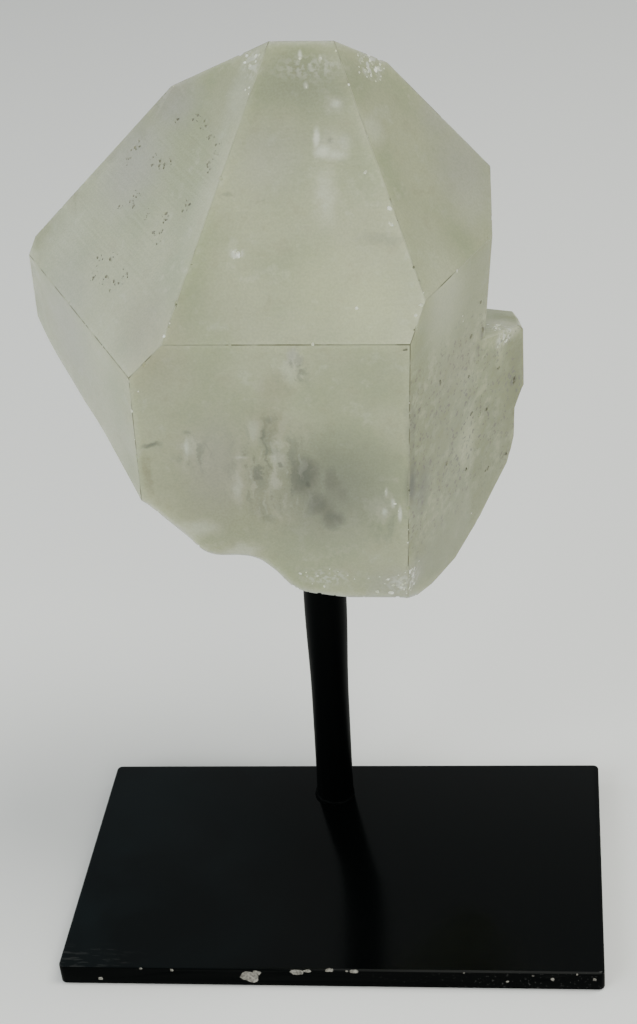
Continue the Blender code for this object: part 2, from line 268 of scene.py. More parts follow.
def build_plate(paint, dry_paint, filler):
    low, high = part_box("stand_plate")
    middle, size = (low + high) / 2, high - low
    bm = bmesh.new()
    bmesh.ops.create_cube(bm, size=1.0)
    bmesh.ops.scale(bm, verts=bm.verts, vec=size)
    bmesh.ops.translate(bm, verts=bm.verts, vec=middle)
    upright = [e for e in bm.edges if abs(e.verts[0].co.z - e.verts[1].co.z) > size.z / 2]
    bmesh.ops.bevel(bm, geom=upright, offset=PLATE_CORNER, segments=8, profile=0.5, affect="EDGES")
    for side in bm.faces:
        side.material_index = int(abs(side.normal.z) < 0.5)
    plate = piece_from("plate", bm, paint, dry_paint)
    easing = plate.modifiers.new("Eased edges", "BEVEL")
    easing.width = PLATE_EASING
    easing.segments = 4
    easing.limit_method = "ANGLE"
    easing.angle_limit = math.radians(50)
    bites = bmesh.new()
    for seed, (along, down, width, height, depth) in enumerate(PAINT_CHIPS):
        thick = 2.5 * depth
        centre = (along * MM, low.y + (depth - thick) * MM, high.z - down * MM)
        flake(bites, centre, (width / 2 * MM, thick * MM, height / 2 * MM), seed)
    cutter = piece_from("paint flakes", bites, filler)
    boolean(plate, cutter, "DIFFERENCE", crossing=True)
    settle(plate, cutter)
    plate.data.shade_smooth()
    plate.data.set_sharp_from_angle(angle=math.radians(35))
    return plate


# These paints also set the painted sheen on the left and the painted highlight along the plate's upper front
# edge.
dry_paint_finish = black_paint(
    "dry black paint", shine=0.02, roughness=0.40, painted_sheen=0.0, scuffs=0.0, speckles=0.35, edge_band=0.11
)
satin_finish = black_paint(
    "satin black paint", shine=0.18, roughness=0.11, painted_sheen=1.0, scuffs=0.2, speckles=0.0, edge_band=0.11
)
plate = build_plate(satin_finish, dry_paint_finish, bare_filler())
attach(plate, "root")
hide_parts("stand_plate")

# ---------------------------------------------------------------------------------------------
# Stand rod. A round steel bar that leans a little to the right, welded to the plate by a small
# bead and widening slightly under the crystal, where it goes up into the drilled hole.
# ---------------------------------------------------------------------------------------------
ROD_FOOT = Vector((-3.3, 22.5, 5.35)) * MM
ROD_LEAN = Euler((math.radians(-0.2), math.radians(2.4), 0.0))
ROD_RADII = (4.0 * MM, 4.5 * MM)  # at the foot and at the top
ROD_FLARE = (26.0 * MM, 52.0 * MM)
ROD_LENGTH = 100.3 * MM
ROD_CHAMFER = 0.6 * MM
WELD_BEAD = 0.5 * MM
WELD_TOE = -0.5 * MM  # the bead runs down onto the plate, below the rod's own cut end
ROD_STEPS = 72
rod_place = Matrix.Translation(ROD_FOOT) @ ROD_LEAN.to_matrix().to_4x4()


def rod_outline():
    """Outer side of the rod from its tip down to the weld, as (radius, height)."""
    thin, thick = ROD_RADII
    points = [(0.0, ROD_LENGTH), (thick - ROD_CHAMFER, ROD_LENGTH), (thick, ROD_LENGTH - ROD_CHAMFER)]
    points += [(thick, ROD_LENGTH - step * 8.0 * MM) for step in range(1, 6)]
    for step in range(13):
        share = step / 12
        ease = (1 + math.cos(math.pi * share)) / 2
        points.append((thin + (thick - thin) * ease, ROD_FLARE[1] + (ROD_FLARE[0] - ROD_FLARE[1]) * share))
    points += [(thin, 20.0 * MM), (thin, 12.0 * MM), (thin, 5.0 * MM)]
    for step in range(9):
        turn = math.pi / 2 * step / 8
        height = WELD_BEAD * (1 - math.sin(turn)) + WELD_TOE
        points.append((thin + WELD_BEAD * (1 - math.cos(turn)), height))
    return points + [(thin + WELD_BEAD, WELD_TOE - 0.3 * MM), (0.0, WELD_TOE - 0.3 * MM)]


def build_rod(paint):
    outline = rod_outline()
    mesh = bpy.data.meshes.new("rod")
    links = [(i, i + 1) for i in range(len(outline) - 1)]
    mesh.from_pydata([(radius, 0.0, height) for radius, height in outline], links, [])
    mesh.materials.append(paint)
    rod = bpy.data.objects.new("rod", mesh)
    scene.collection.objects.link(rod)
    turned = rod.modifiers.new("Turned", "SCREW")
    turned.steps = turned.render_steps = ROD_STEPS
    turned.use_merge_vertices = True
    turned.merge_threshold = 0.00002
    settle(rod)
    for vert in rod.data.vertices:
        # the weld bead is laid by hand, so its toe is uneven
        if vert.co.z < 3.0 * MM and vert.co.xy.length > ROD_RADII[0]:
            vert.co.xy *= 1.0 + 0.05 * noise.noise(vert.co * 900.0)
    rod.data.transform(rod_place)
    rod.data.shade_smooth()
    rod.data.set_sharp_from_angle(angle=math.radians(40))
    return rod


rod = build_rod(dry_paint_finish)
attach(rod, "root")
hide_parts("stand_rod")

# ---------------------------------------------------------------------------------------------
# Crystal. One natural quartz point, cloudy and greenish grey, with a blunt chisel tip, a small
# crystal grown into its right side and a shell-like break below, drilled up to take the rod.
# Places on it are millimetres in its own frame: +Z its growth axis, -Y its front prism face.
# ---------------------------------------------------------------------------------------------
CRYSTAL_CENTRE = Vector((1.1, 22.2, 109.2)) * MM
CRYSTAL_TURN = Euler((math.radians(7.9), math.radians(4.0), math.radians(4.1)))
TERMINATION_ANGLE = math.radians(51.79)
# each face's direction round the axis, in degrees, and its distance from the centre
TIP_FACES = {0: 47.8, 60: 50.0, 120: 51.1, 180: 41.9, 240: 55.5, 300: 50.1}
SIDE_FACES = {0: 35.5, 60: 33.7, 180: 29.5, 240: 48.6, 300: 43.8}
# flats where its neighbours stood, and two corners off its lower right: (outward, distance)
CONTACT_FACES = (
    ((1.0, 0.04, -0.038), 31.2), ((0.8, 0.6, 0.05), 37.0), ((0.0, 0.0, -1.0), 48.0),
    ((0.35, -0.45, -0.82), 44.3), ((0.745, -0.456, -0.488), 43.84),
)
GROWTH_FACES = (
    ((0.81, -0.585, 0.0), 33.2), ((0.05, 0.34, 0.94), 14.1), ((0.8, 0.2, 0.55), 38.9),
    ((0.985, 0.15, 0.07), 40.3), ((0.25, 0.97, 0.0), 18.0), ((-1.0, 0.0, 0.0), -24.0),
    ((0.0, 0.0, -1.0), 45.0),
)
GROWTH_RUBBED = 1, 0.6  # the edges round its second face, the top one, are rubbed off this wide
# the break seen from the front, as (x, z) from the left to the right
BREAK_OUTLINE = (
    (-78, 26), (-56.4, 10.3), (-50.5, 5.2), (-45, 5.1), (-40, 4.6), (-35.5, 1.8), (-31, -1.2), (-28, -3.4),
    (-22.6, -9.8), (-19, -14.8), (-14, -15), (-10.5, -14.8), (-7.5, -17), (-2, -23.7), (7, -25.4),
    (18.4, -25.4), (20.4, -27.6), (23, -29.2), (26.5, -30.2), (33, -26), (38.2, -20), (39.4, -15),
    (39.3, -8), (40.6, -5), (46, 1), (75, 12),
)
SOFT_RIM_END, SOFT_RIM_REACH = 10.0, 3  # left of this x the rim is rounded, over so many points each way
BREAK_STEP = 0.8  # from point to point of its mesh
BREAK_DEPTH = (-52.0, 48.0)
BREAK_CORE = Vector((0.0, 0.0, 12.0))  # the break curves round this
BREAK_RISE, RISE_FROM = 0.22, -14.0  # it climbs so much per mm behind this y
BREAK_BLOCK = 60.0  # thickness of the block that is taken off
RIM_DEPTH = (4.0, 30.0)  # behind the front faces, where the rim gives way to the full scoops
SMOOTHING = 16.0
SCOOP_SIZE, SCOOP_DEPTH, SCOOP_STEP = 15.0, 4.0, 3.4
EDGE_WEAR = 0.12
CELL, CELL_OFFSET, CELLS_EACH_WAY = 7.3, 0.9, 10
HOLE_CLEARANCE = 0.3 * MM
crystal_place = Matrix.Translation(CRYSTAL_CENTRE) @ CRYSTAL_TURN.to_matrix().to_4x4() @ Matrix.Scale(MM, 4)


def side_normal(azimuth):
    angle = math.radians(azimuth)
    return Vector((math.sin(angle), -math.cos(angle), 0.0))


def tip_normal(azimuth):
    return side_normal(azimuth) * math.sin(TERMINATION_ANGLE) + Vector((0, 0, math.cos(TERMINATION_ANGLE)))


def crystal_planes():
    planes = [(tip_normal(azimuth), distance) for azimuth, distance in TIP_FACES.items()]
    planes += [(side_normal(azimuth), distance) for azimuth, distance in SIDE_FACES.items()]
    return planes + [(Vector(normal).normalized(), distance) for normal, distance in CONTACT_FACES]


def grown_solid(name, planes, finish, worn, edge_band=None):
    """The convex solid inside all the planes, its edges faintly worn and those round one face worn off more
    widely.
    """
    bm = bmesh.new()
    bmesh.ops.create_cube(bm, size=240.0)
    for normal, distance in planes:
        normal = Vector(normal).normalized()
        everything = bm.verts[:] + bm.edges[:] + bm.faces[:]
        cut = bmesh.ops.bisect_plane(
            bm, geom=everything, plane_co=normal * distance, plane_no=normal, clear_outer=True
        )
        edges = [e for e in cut["geom_cut"] if isinstance(e, bmesh.types.BMEdge)]
        if edges:
            bmesh.ops.contextual_create(bm, geom=edges)
    bmesh.ops.remove_doubles(bm, verts=bm.verts, dist=0.001)
    bmesh.ops.recalc_face_normals(bm, faces=bm.faces)
    if edge_band:
        which, width = edge_band
        normal = Vector(planes[which][0]).normalized()
        edges = [e for e in bm.edges if any(f.normal.dot(normal) > 0.999 for f in e.link_faces)]
        bmesh.ops.bevel(
            bm, geom=edges, offset=width, segments=16, profile=0.5, affect="EDGES", clamp_overlap=True
        )
    grown = piece_from(name, bm, finish, worn)
    wear = grown.modifiers.new("Edge wear", "BEVEL")
    wear.width = EDGE_WEAR
    wear.segments = 2
    wear.limit_method = "ANGLE"
    wear.angle_limit = math.radians(8)
    wear.material = 1
    settle(grown)
    split_into_cells(grown)
    return grown


def split_into_cells(body):
    """Splits the large faces, so that whatever is cut from them changes only a small cell of them."""
    bm = bmesh.new()
    bm.from_mesh(body.data)
    for axis in (Vector((1, 0, 0)), Vector((0, 1, 0)), Vector((0, 0, 1))):
        for step in range(-CELLS_EACH_WAY, CELLS_EACH_WAY + 1):
            wall = axis * (step * CELL + CELL_OFFSET)
            everything = bm.verts[:] + bm.edges[:] + bm.faces[:]
            bmesh.ops.bisect_plane(bm, geom=everything, plane_co=wall, plane_no=axis)
    bm.to_mesh(body.data)
    bm.free()


def rim_points():
    """The break's outline at the front rim, resampled at an even step."""
    corners = [Vector((x, 0.0, z)) for x, z in BREAK_OUTLINE]
    points = []
    for start, end in zip(corners, corners[1:]):
        count = max(1, round((end - start).length / BREAK_STEP))
        points += [start.lerp(end, i / count) for i in range(count)]
    return points + [corners[-1]]


def smoothed(points, reach):
    result = []
    for index in range(len(points)):
        side = min(reach, index, len(points) - 1 - index)
        near = points[index - side : index + side + 1]
        result.append(sum(near, Vector()) / len(near))
    return result


def front_at(x):
    """Where the crystal's front faces lie at x."""
    normals = {azimuth: side_normal(azimuth) for azimuth in (0, 60, 300)}
    return max((n.x * x - SIDE_FACES[azimuth]) / -n.y for azimuth, n in normals.items())


def scoop_height(where):
    """Height of the break: hollow scoops that meet in ridges, with shell ripples and small splinters."""
    distances, centres = noise.voronoi(where / SCOOP_SIZE)
    bowl = distances[0] ** 2 - 0.25
    level = noise.noise(centres[0] * 3.7)
    small, small_centres = noise.voronoi(where / 4.2)
    splinters = 0.9 * (small[0] ** 2 - 0.2) + 0.8 * noise.noise(small_centres[0] * 5.1)
    patch = max(0.0, noise.noise(where * 0.06 + Vector((7.0, 0.0, 0.0))) + 0.15)
    ripples = 0.10 * math.sin(distances[0] * SCOOP_SIZE * 2.4 + 2.0 * noise.noise(where * 0.12))
    grain = 0.5 * noise.fractal(where * 0.16, 1.0, 2.1, 3) + 0.12 * noise.fractal(where * 0.8, 1.0, 2.1, 3)
    return SCOOP_DEPTH * bowl + SCOOP_STEP * level + 1.2 * patch * splinters + ripples + grain


def break_block(finish):
    """A rough sheet along the broken end, thickened outwards into the block that the break takes off."""
    rough = rim_points()
    rounded = smoothed(rough, SOFT_RIM_REACH)
    rim = [soft if soft.x < SOFT_RIM_END else hard for soft, hard in zip(rounded, rough)]
    inner = smoothed(rim, round(SMOOTHING / BREAK_STEP))
    rows = round((BREAK_DEPTH[1] - BREAK_DEPTH[0]) / BREAK_STEP)
    bm = bmesh.new()
    bmesh.ops.create_grid(bm, x_segments=len(rim) - 1, y_segments=rows, size=0.5)
    for vert in bm.verts:
        column = round((vert.co.x + 0.5) * (len(rim) - 1))
        y = BREAK_DEPTH[0] + (vert.co.y + 0.5) * (BREAK_DEPTH[1] - BREAK_DEPTH[0])
        behind = y - front_at(rim[column].x) - RIM_DEPTH[0]
        inside = min(1.0, max(0.0, behind / (RIM_DEPTH[1] - RIM_DEPTH[0])))
        point = rim[column].lerp(inner[column], inside)
        out = (point - BREAK_CORE).normalized()
        place = point + out * scoop_height(Vector((point.x, y, point.z))) * (0.12 + 0.88 * inside)
        vert.co = Vector((place.x, y, place.z + BREAK_RISE * max(0.0, y - RISE_FROM)))
    far = bmesh.ops.extrude_face_region(bm, geom=bm.faces[:])
    for vert in (v for v in far["geom"] if isinstance(v, bmesh.types.BMVert)):
        away = Vector((vert.co.x, 0.0, vert.co.z)) - BREAK_CORE
        vert.co += away.normalized() * BREAK_BLOCK
    bmesh.ops.recalc_face_normals(bm, faces=bm.faces)
    return piece_from("break block", bm, finish)


def drill(finish):
    """The round hole along the rod's own axis, drilled up from the broken end."""
    low, high = ROD_LENGTH * 0.45, ROD_LENGTH + HOLE_CLEARANCE
    radius = ROD_RADII[1] + HOLE_CLEARANCE
    middle = Matrix.Translation((0, 0, (low + high) / 2))
    bm = bmesh.new()
    bmesh.ops.create_cone(
        bm, cap_ends=True, segments=64, radius1=radius, radius2=radius, depth=high - low, matrix=middle
    )
    bmesh.ops.transform(bm, matrix=crystal_place.inverted() @ rod_place, verts=bm.verts)
    return piece_from("drill", bm, finish)


QUARTZ_IOR = 1.544
ABSORBED = (0.60, 0.66, 0.36, 1.0)  # what the cloudy quartz lets through, and how fast, per metre
ABSORPTION = 9.0
GLOW_DEPTH, SHALLOW_GLOW = 7.0 * MM, 1.0 * MM  # how far light spreads inside, whole and broken
CLOUDY, GREENER = (0.505, 0.525, 0.355, 1.0), (0.425, 0.46, 0.29, 1.0)
CRUSHED = (0.82, 0.83, 0.76, 1.0)
STAIN = (0.17, 0.165, 0.12, 1.0)
# the edge bevels are coloured as dark lines; their fainter colour is a painted shade, darker than the
# quartz, that damps the glow of the rounded bevels
EDGE_LINE_DARK, EDGE_LINE_FAINT_SHADE = (0.10, 0.10, 0.06, 1.0), (0.31, 0.325, 0.225, 1.0)
# The dark and deep tints also carry the painted shade of the rod's end on the front face.
TINTS = {
    "pale": (0.68, 0.69, 0.56, 1.0), "dark": (0.17, 0.18, 0.14, 1.0), "lilac": (0.475, 0.475, 0.41, 1.0),
    "brown": (0.34, 0.32, 0.195, 1.0), "yellow": (0.64, 0.665, 0.42, 1.0),
    "olive": (0.235, 0.255, 0.09, 1.0), "bright": (0.84, 0.86, 0.75, 1.0), "deep": (0.12, 0.125, 0.09, 1.0),
}
FRONT = -35.4  # y just under the front prism face
# Veils, cracks and stains just under the faces, by tint: (place, reach, strength). The dark and deep ones in
# the middle of the front are painted shade: the rod's end, seen through the quartz, painted onto the face.
VEILS = {
    "bright": (
        ((2.5, -13.8, 59.5), (0.7, 1.9, 2.3), 0.95), ((3.5, -15.2, 57.7), (1.7, 1.3, 1.4), 0.75),
        ((5.6, -15.6, 57.2), (2.8, 1.0, 1.1), 0.45), ((7.4, -14.4, 58.6), (1.2, 2.0, 2.2), 0.22),
        ((-0.3, -5.2, 70.5), (0.4, 0.9, 1.0), 0.9), ((3.1, -5.6, 70.0), (0.35, 0.8, 0.9), 0.7),
        ((0.7, -8.3, 66.5), (0.5, 0.7, 0.7), 0.6), ((5.8, -10.2, 64.1), (1.0, 0.8, 0.8), 0.45),
        ((16.8, FRONT, -5.0), (0.45, 1.0, 2.3), 1.0), ((15.5, FRONT, -2.4), (0.5, 1.0, 1.4), 0.6),
        ((14.4, FRONT, 0.2), (0.35, 1.0, 1.3), 0.6), ((14.0, FRONT, -4.4), (0.6, 1.0, 1.1), 0.5),
        ((-11.5, FRONT, 8.0), (1.7, 1.0, 0.4), 0.28), ((-21.0, FRONT, 10.4), (0.5, 1.0, 2.4), 0.45),
    ),
    "pale": (
        ((5.2, -14.4, 58.6), (3.6, 2.8, 3.0), 0.5), ((4.0, -19.6, 52.0), (2.4, 5.8, 6.6), 0.65),
        ((5.8, -10.4, 63.9), (1.8, 1.6, 1.6), 0.5), ((11.9, -11.8, 59.8), (2.8, 3.4, 3.6), 0.45),
        ((-10.5, -7.0, 64.0), (3.0, 5.0, 4.5), 0.4), ((23.5, -24.0, 36.0), (7.5, 10.0, 14.0), 0.3),
        ((-2.0, FRONT, 27.0), (2.0, 2.0, 3.4), 0.4), ((-9.1, FRONT, 14.0), (1.6, 1.5, 3.6), 0.35),
        ((-4.5, FRONT, 7.6), (1.6, 1.5, 3.2), 0.6), ((-12.7, FRONT, 1.4), (1.3, 2.0, 4.4), 0.45),
        ((-6.3, FRONT, 1.6), (0.9, 1.5, 3.0), 0.35), ((-20.0, FRONT, 10.6), (1.7, 1.5, 2.8), 0.4),
        ((-20.5, FRONT, -8.6), (5.0, 3.0, 2.8), 0.65), ((13.5, FRONT, -3.4), (3.2, 2.0, 3.6), 0.3),
        ((-12.2, FRONT, -13.4), (4.0, 3.0, 1.9), 0.6), ((-44.2, 1.5, 33.2), (9.0, 9.0, 10.0), 0.42),
        ((29.5, -8.5, 43.5), (5.0, 7.0, 6.0), 0.22), ((36.5, -1.5, 13.6), (4.5, 7.0, 2.2), 0.75),
    ),
    "dark": (
        ((0.0, -8.0, 67.0), (12.0, 6.0, 7.0), 0.28), ((4.9, -14.0, 59.2), (1.2, 0.7, 0.7), 0.6),
        ((-12.9, -19.8, 51.9), (1.8, 0.8, 0.4), 0.4), ((-7.4, -20.1, 51.4), (1.4, 0.8, 0.35), 0.35),
        ((13.8, -24.3, 46.2), (5.5, 2.2, 1.3), 0.25), ((-0.9, FRONT, 28.8), (0.6, 1.5, 2.2), 0.6),
        ((0.0, FRONT, 26.6), (1.4, 1.5, 0.8), 0.35), ((-7.3, FRONT, 13.6), (0.9, 1.5, 3.0), 0.6),
        ((-6.4, FRONT, 16.4), (1.3, 1.2, 1.3), 0.5), ((-5.8, FRONT, 9.4), (2.4, 2.0, 1.5), 0.5),
        ((-8.3, FRONT, 2.6), (2.3, 2.0, 4.4), 0.5), ((-6.4, FRONT, 12.2), (2.2, 2.0, 3.4), 0.4),
        # painted shade: the front lobes near x 0 to 7, z -6 to 4 paint the rod's end seen through the
        # quartz; the rest are cracks and stains
        ((-8.2, FRONT, -3.0), (2.4, 2.0, 4.0), 0.4), ((0.2, FRONT, 0.2), (2.2, 2.0, 4.4), 0.6),
        ((-7.2, FRONT, -5.8), (2.2, 2.0, 1.9), 0.45), ((-20.8, FRONT, 13.2), (1.2, 1.2, 0.7), 0.4),
        ((-27.2, FRONT, 10.6), (2.0, 1.5, 0.9), 0.8), ((-0.3, FRONT, 3.6), (4.6, 3.0, 8.0), 0.9),
        ((1.9, FRONT, -2.4), (4.2, 3.0, 5.4), 0.9), ((4.8, FRONT, -6.0), (3.8, 3.0, 4.8), 0.9),
        ((4.4, FRONT, 3.0), (3.8, 3.0, 6.6), 0.8), ((6.6, FRONT, -0.4), (3.8, 3.0, 5.4), 0.72),
        ((4.4, FRONT, 0.5), (13.0, 7.0, 15.0), 0.64), ((20.9, -31.2, -2.0), (2.6, 4.4, 7.0), 0.58),
        ((18.6, -34.6, 14.0), (1.2, 2.4, 11.0), 0.45),
    ),
    "deep": (
        # painted shade: the first four paint the core of the rod's end seen through the quartz
        ((0.3, FRONT, 1.9), (0.8, 1.2, 1.2), 0.9), ((0.0, FRONT, 3.6), (2.6, 2.0, 5.4), 0.38),
        ((3.4, FRONT, -4.2), (2.2, 2.0, 4.4), 0.38), ((5.2, FRONT, 0.6), (2.4, 2.0, 3.6), 0.2),
        ((18.9, -34.6, 1.2), (1.6, 2.4, 6.0), 0.95), ((31.7, -12.4, 19.0), (0.6, 1.0, 2.2), 0.6),
        ((30.9, -13.6, 16.6), (0.6, 1.0, 1.4), 0.5), ((38.6, -3.3, 1.6), (1.1, 1.3, 1.2), 1.0),
    ),
    "lilac": (
        ((-5.4, -16.1, 56.6), (8.0, 8.0, 8.0), 0.4), ((-33.0, 0.0, 48.0), (12.0, 12.0, 12.0), 0.9),
        ((-24.0, 4.0, 58.0), (9.0, 9.0, 7.0), 0.8), ((28.0, -3.0, 48.0), (9.0, 12.0, 12.0), 0.7),
        ((24.0, 0.0, 56.0), (6.0, 6.0, 6.0), 0.6), ((-1.9, FRONT, 30.2), (1.2, 2.0, 2.8), 0.8),
        ((-16.0, FRONT, 5.5), (7.0, 3.0, 13.0), 0.75), ((16.5, -34.0, -22.0), (7.0, 6.0, 5.0), 0.6),
        ((-44.0, -10.0, 20.0), (9.0, 14.0, 16.0), 0.6),
    ),
    "yellow": (
        ((11.5, -31.5, 37.5), (9.5, 9.0, 9.0), 0.6), ((5.0, -30.0, 40.0), (9.0, 9.0, 9.0), 0.4),
        ((29.4, -16.4, -3.0), (3.6, 6.0, 7.5), 0.55), ((35.4, -6.5, 12.0), (1.2, 4.0, 6.0), 0.6),
        ((23.5, -24.0, 35.0), (7.0, 9.0, 13.0), 0.35),
    ),
    "brown": (
        ((-5.2, FRONT, 22.5), (3.4, 3.0, 5.0), 0.4), ((-6.2, FRONT, 15.5), (4.4, 3.0, 5.4), 0.55),
        ((-27.0, -31.5, 31.0), (9.0, 12.0, 10.0), 0.55), ((-28.6, FRONT, 4.0), (1.0, 1.5, 6.0), 0.7),
        ((-13.0, FRONT, 1.0), (17.0, 8.0, 18.0), 0.42), ((27.0, -20.0, 18.0), (8.0, 12.0, 7.0), 0.4),
    ),
    "olive": (
        ((39.0, -1.0, 4.0), (7.0, 9.0, 19.0), 0.8), ((23.0, -27.0, 5.0), (6.0, 10.0, 14.0), 0.4),
    ),
    "cracked": (
        ((-6.0, FRONT, 5.0), (9.0, 5.0, 15.0), 0.9), ((-1.5, FRONT, 27.0), (4.0, 4.0, 6.0), 0.7),
        ((-20.0, FRONT, 9.0), (4.0, 4.0, 6.0), 0.7), ((14.0, FRONT, -6.0), (6.0, 4.0, 7.0), 0.5),
    ),
    "flecked": (
        ((11.5, -2.0, 66.9), (3.4, 3.2, 2.8), 0.9), ((-8.4, -4.4, 68.4), (2.6, 3.4, 3.0), 0.7),
        ((17.8, -34.5, -21.8), (4.2, 4.0, 2.6), 0.9), ((3.0, FRONT, -20.2), (5.6, 3.5, 2.4), 0.5),
        ((-11.0, -25.9, 44.1), (1.3, 1.3, 1.3), 1.0), ((35.6, -5.5, 14.0), (3.4, 4.2, 2.4), 0.8),
        ((1.6, -6.5, 69.0), (7.0, 3.0, 2.2), 0.4),
    ),
}


def place_on_crystal(tree):
    """Place in the crystal's own frame, in mm."""
    place = wire(tree, "ShaderNodeTexCoord").outputs["Object"]
    inputs = {"Vector": place, "Location": CRYSTAL_CENTRE, "Rotation": CRYSTAL_TURN, "Scale": (MM, MM, MM)}
    return wire(tree, "ShaderNodeMapping", inputs, vector_type="TEXTURE").outputs[0]


def spread(tree, value, low, high, to_low=0.0, to_high=1.0):
    """A ramp that is eased at both ends."""
    return ramp(tree, value, low, high, to_low, to_high, easing="SMOOTHSTEP")


def vector_maths(tree, operation, first, second):
    """SCALE takes a number as its second value, and DOT_PRODUCT gives a number."""
    inputs = {0: first, "Scale" if operation == "SCALE" else 1: second}
    made = wire(tree, "ShaderNodeVectorMath", inputs, operation=operation)
    return made.outputs["Value" if operation == "DOT_PRODUCT" else "Vector"]


def veil_share(tree, place, tint):
    """How strongly one tint shows at a place: the strongest of its veils there."""
    total = None
    for centre, reach, strength in VEILS[tint]:
        shrink = [1 / size for size in reach]
        shift = [-middle / size for middle, size in zip(centre, reach)]
        inputs = {0: place, 1: shrink, 2: shift}
        inside = wire(tree, "ShaderNodeVectorMath", inputs, operation="MULTIPLY_ADD").outputs[0]
        far = wire(tree, "ShaderNodeVectorMath", {0: inside}, operation="LENGTH").outputs["Value"]
        share = spread(tree, far, 1.25, 0.1, 0.0, strength)
        total = share if total is None else calculated(tree, "MAXIMUM", total, share)
    return total


def veiled(tree, place, colour, tints):
    for tint in tints:
        colour = mixed(tree, veil_share(tree, place, tint), colour, TINTS[tint])
    return colour


def facing(tree, normal):
    """1 on the flat face with this normal in the crystal's frame, 0 on the others."""
    shown = wire(tree, "ShaderNodeTexCoord").outputs["Normal"]
    along = vector_maths(tree, "DOT_PRODUCT", shown, CRYSTAL_TURN.to_matrix() @ normal)
    return spread(tree, along, 0.96, 0.995)


def cloudy_colour(tree, place, wisps):
    """Greenish grey, greener in wide clouds, with pale and brown wisps."""
    clouds = noise_at(tree, place, 0.075)[0]
    colour = mixed(tree, spread(tree, clouds, 0.35, 0.65), CLOUDY, GREENER)
    colour = mixed(tree, spread(tree, wisps, 0.54, 0.72, 0.0, 0.30), colour, TINTS["pale"])
    return mixed(tree, spread(tree, wisps, 0.46, 0.30, 0.0, 0.22), colour, TINTS["brown"])


def shaded_right_side(tree, level, wisps, colour):
    """Painted shade: the right side is mixed towards dark olive, darker than the rest, and where it is
    etched it is patchy. Gives its colour and etched zone.
    """
    right = facing(tree, side_normal(60))
    # painted shade: the whole right face darkened towards olive
    colour = mixed(tree, product(tree, right, 0.56), colour, TINTS["olive"])
    etched = product(tree, spread(tree, level, -26.0, -8.0), spread(tree, level, 31.0, 19.0), right)
    paler = product(tree, etched, spread(tree, wisps, 0.50, 0.64, 0.0, 0.35))
    darker = product(tree, etched, spread(tree, wisps, 0.49, 0.36, 0.0, 0.35))
    return mixed(tree, darker, mixed(tree, paler, colour, TINTS["yellow"]), TINTS["olive"]), etched


def front_cracks(tree, place, colour):
    """Cracks inside the lower front face show as pale and dark upright streaks."""
    upright = vector_maths(tree, "MULTIPLY", place, (0.62, 0.62, 0.14))
    streaks = noise_at(tree, upright, 1.0)[0]
    cracked = veil_share(tree, place, "cracked")
    pale = product(tree, spread(tree, streaks, 0.52, 0.66), cracked, 0.45)
    dark = product(tree, spread(tree, streaks, 0.46, 0.34), cracked, 0.65)
    return mixed(tree, dark, mixed(tree, pale, colour, TINTS["pale"]), TINTS["dark"])


def looser_behind(tree, place, depth, colour):
    """The back and the sides hold looser veils, stains and healed cracks."""
    behind = spread(tree, depth, -2.0, 12.0)
    drift = noise_at(tree, place, 0.11, 4.0, Distortion=0.8)[0]
    waves = calculated(tree, "PINGPONG", drift, 0.055)
    loose = spread(tree, drift, 0.52, 0.68, 0.0, 0.55)
    stained = spread(tree, drift, 0.47, 0.33, 0.0, 0.5)
    healed = spread(tree, waves, 0.006, 0.0, 0.0, 0.3)
    for share, tint in ((loose, "pale"), (stained, "brown"), (healed, "dark")):
        colour = mixed(tree, product(tree, behind, share), colour, TINTS[tint])
    return colour


def shattered(tree, place, colour):
    """Shattered places are full of white flecks."""
    flecks = spread(tree, noise_at(tree, place, 1.1)[0], 0.44, 0.62)
    return mixed(tree, product(tree, flecks, veil_share(tree, place, "flecked")), colour, CRUSHED)


def pale_strip(tree, place, level, colour):
    """A paler strip runs down the upper left face along its edge with the front one."""
    along = vector_maths(tree, "DOT_PRODUCT", place, tip_normal(0))
    strip = spread(tree, along, TIP_FACES[0] - 4.5, TIP_FACES[0] - 2.2, 0.0, 0.25)
    strip = product(tree, strip, spread(tree, level, 36.0, 56.0), facing(tree, tip_normal(300)))
    return mixed(tree, strip, colour, TINTS["pale"])


def peppered(tree, place, wisps, etched, colour):
    """The etched zone is peppered with tiny dark pits, denser in some places."""
    pits = wire(tree, "ShaderNodeTexVoronoi", {"Vector": place, "Scale": 1.25, "Randomness": 1.0}).outputs
    lone = wire(tree, "ShaderNodeSeparateColor", {0: pits["Color"]}).outputs[0]
    size = spread(tree, lone, 0.25, 1.0, 0.05, 0.52)
    pepper = calculated(tree, "GREATER_THAN", size, pits["Distance"])
    pepper = product(tree, pepper, etched, spread(tree, wisps, 0.42, 0.56, 0.95, 0.2))
    return mixed(tree, pepper, colour, STAIN)


def level_lines(tree, place):
    """Growth left faint level lines across the faces."""
    squeezed = wire(tree, "ShaderNodeMapping", {"Vector": place, "Scale": (0.06, 0.06, 1.6)})
    return noise_at(tree, squeezed.outputs[0], 1.0, 1.0)[0]


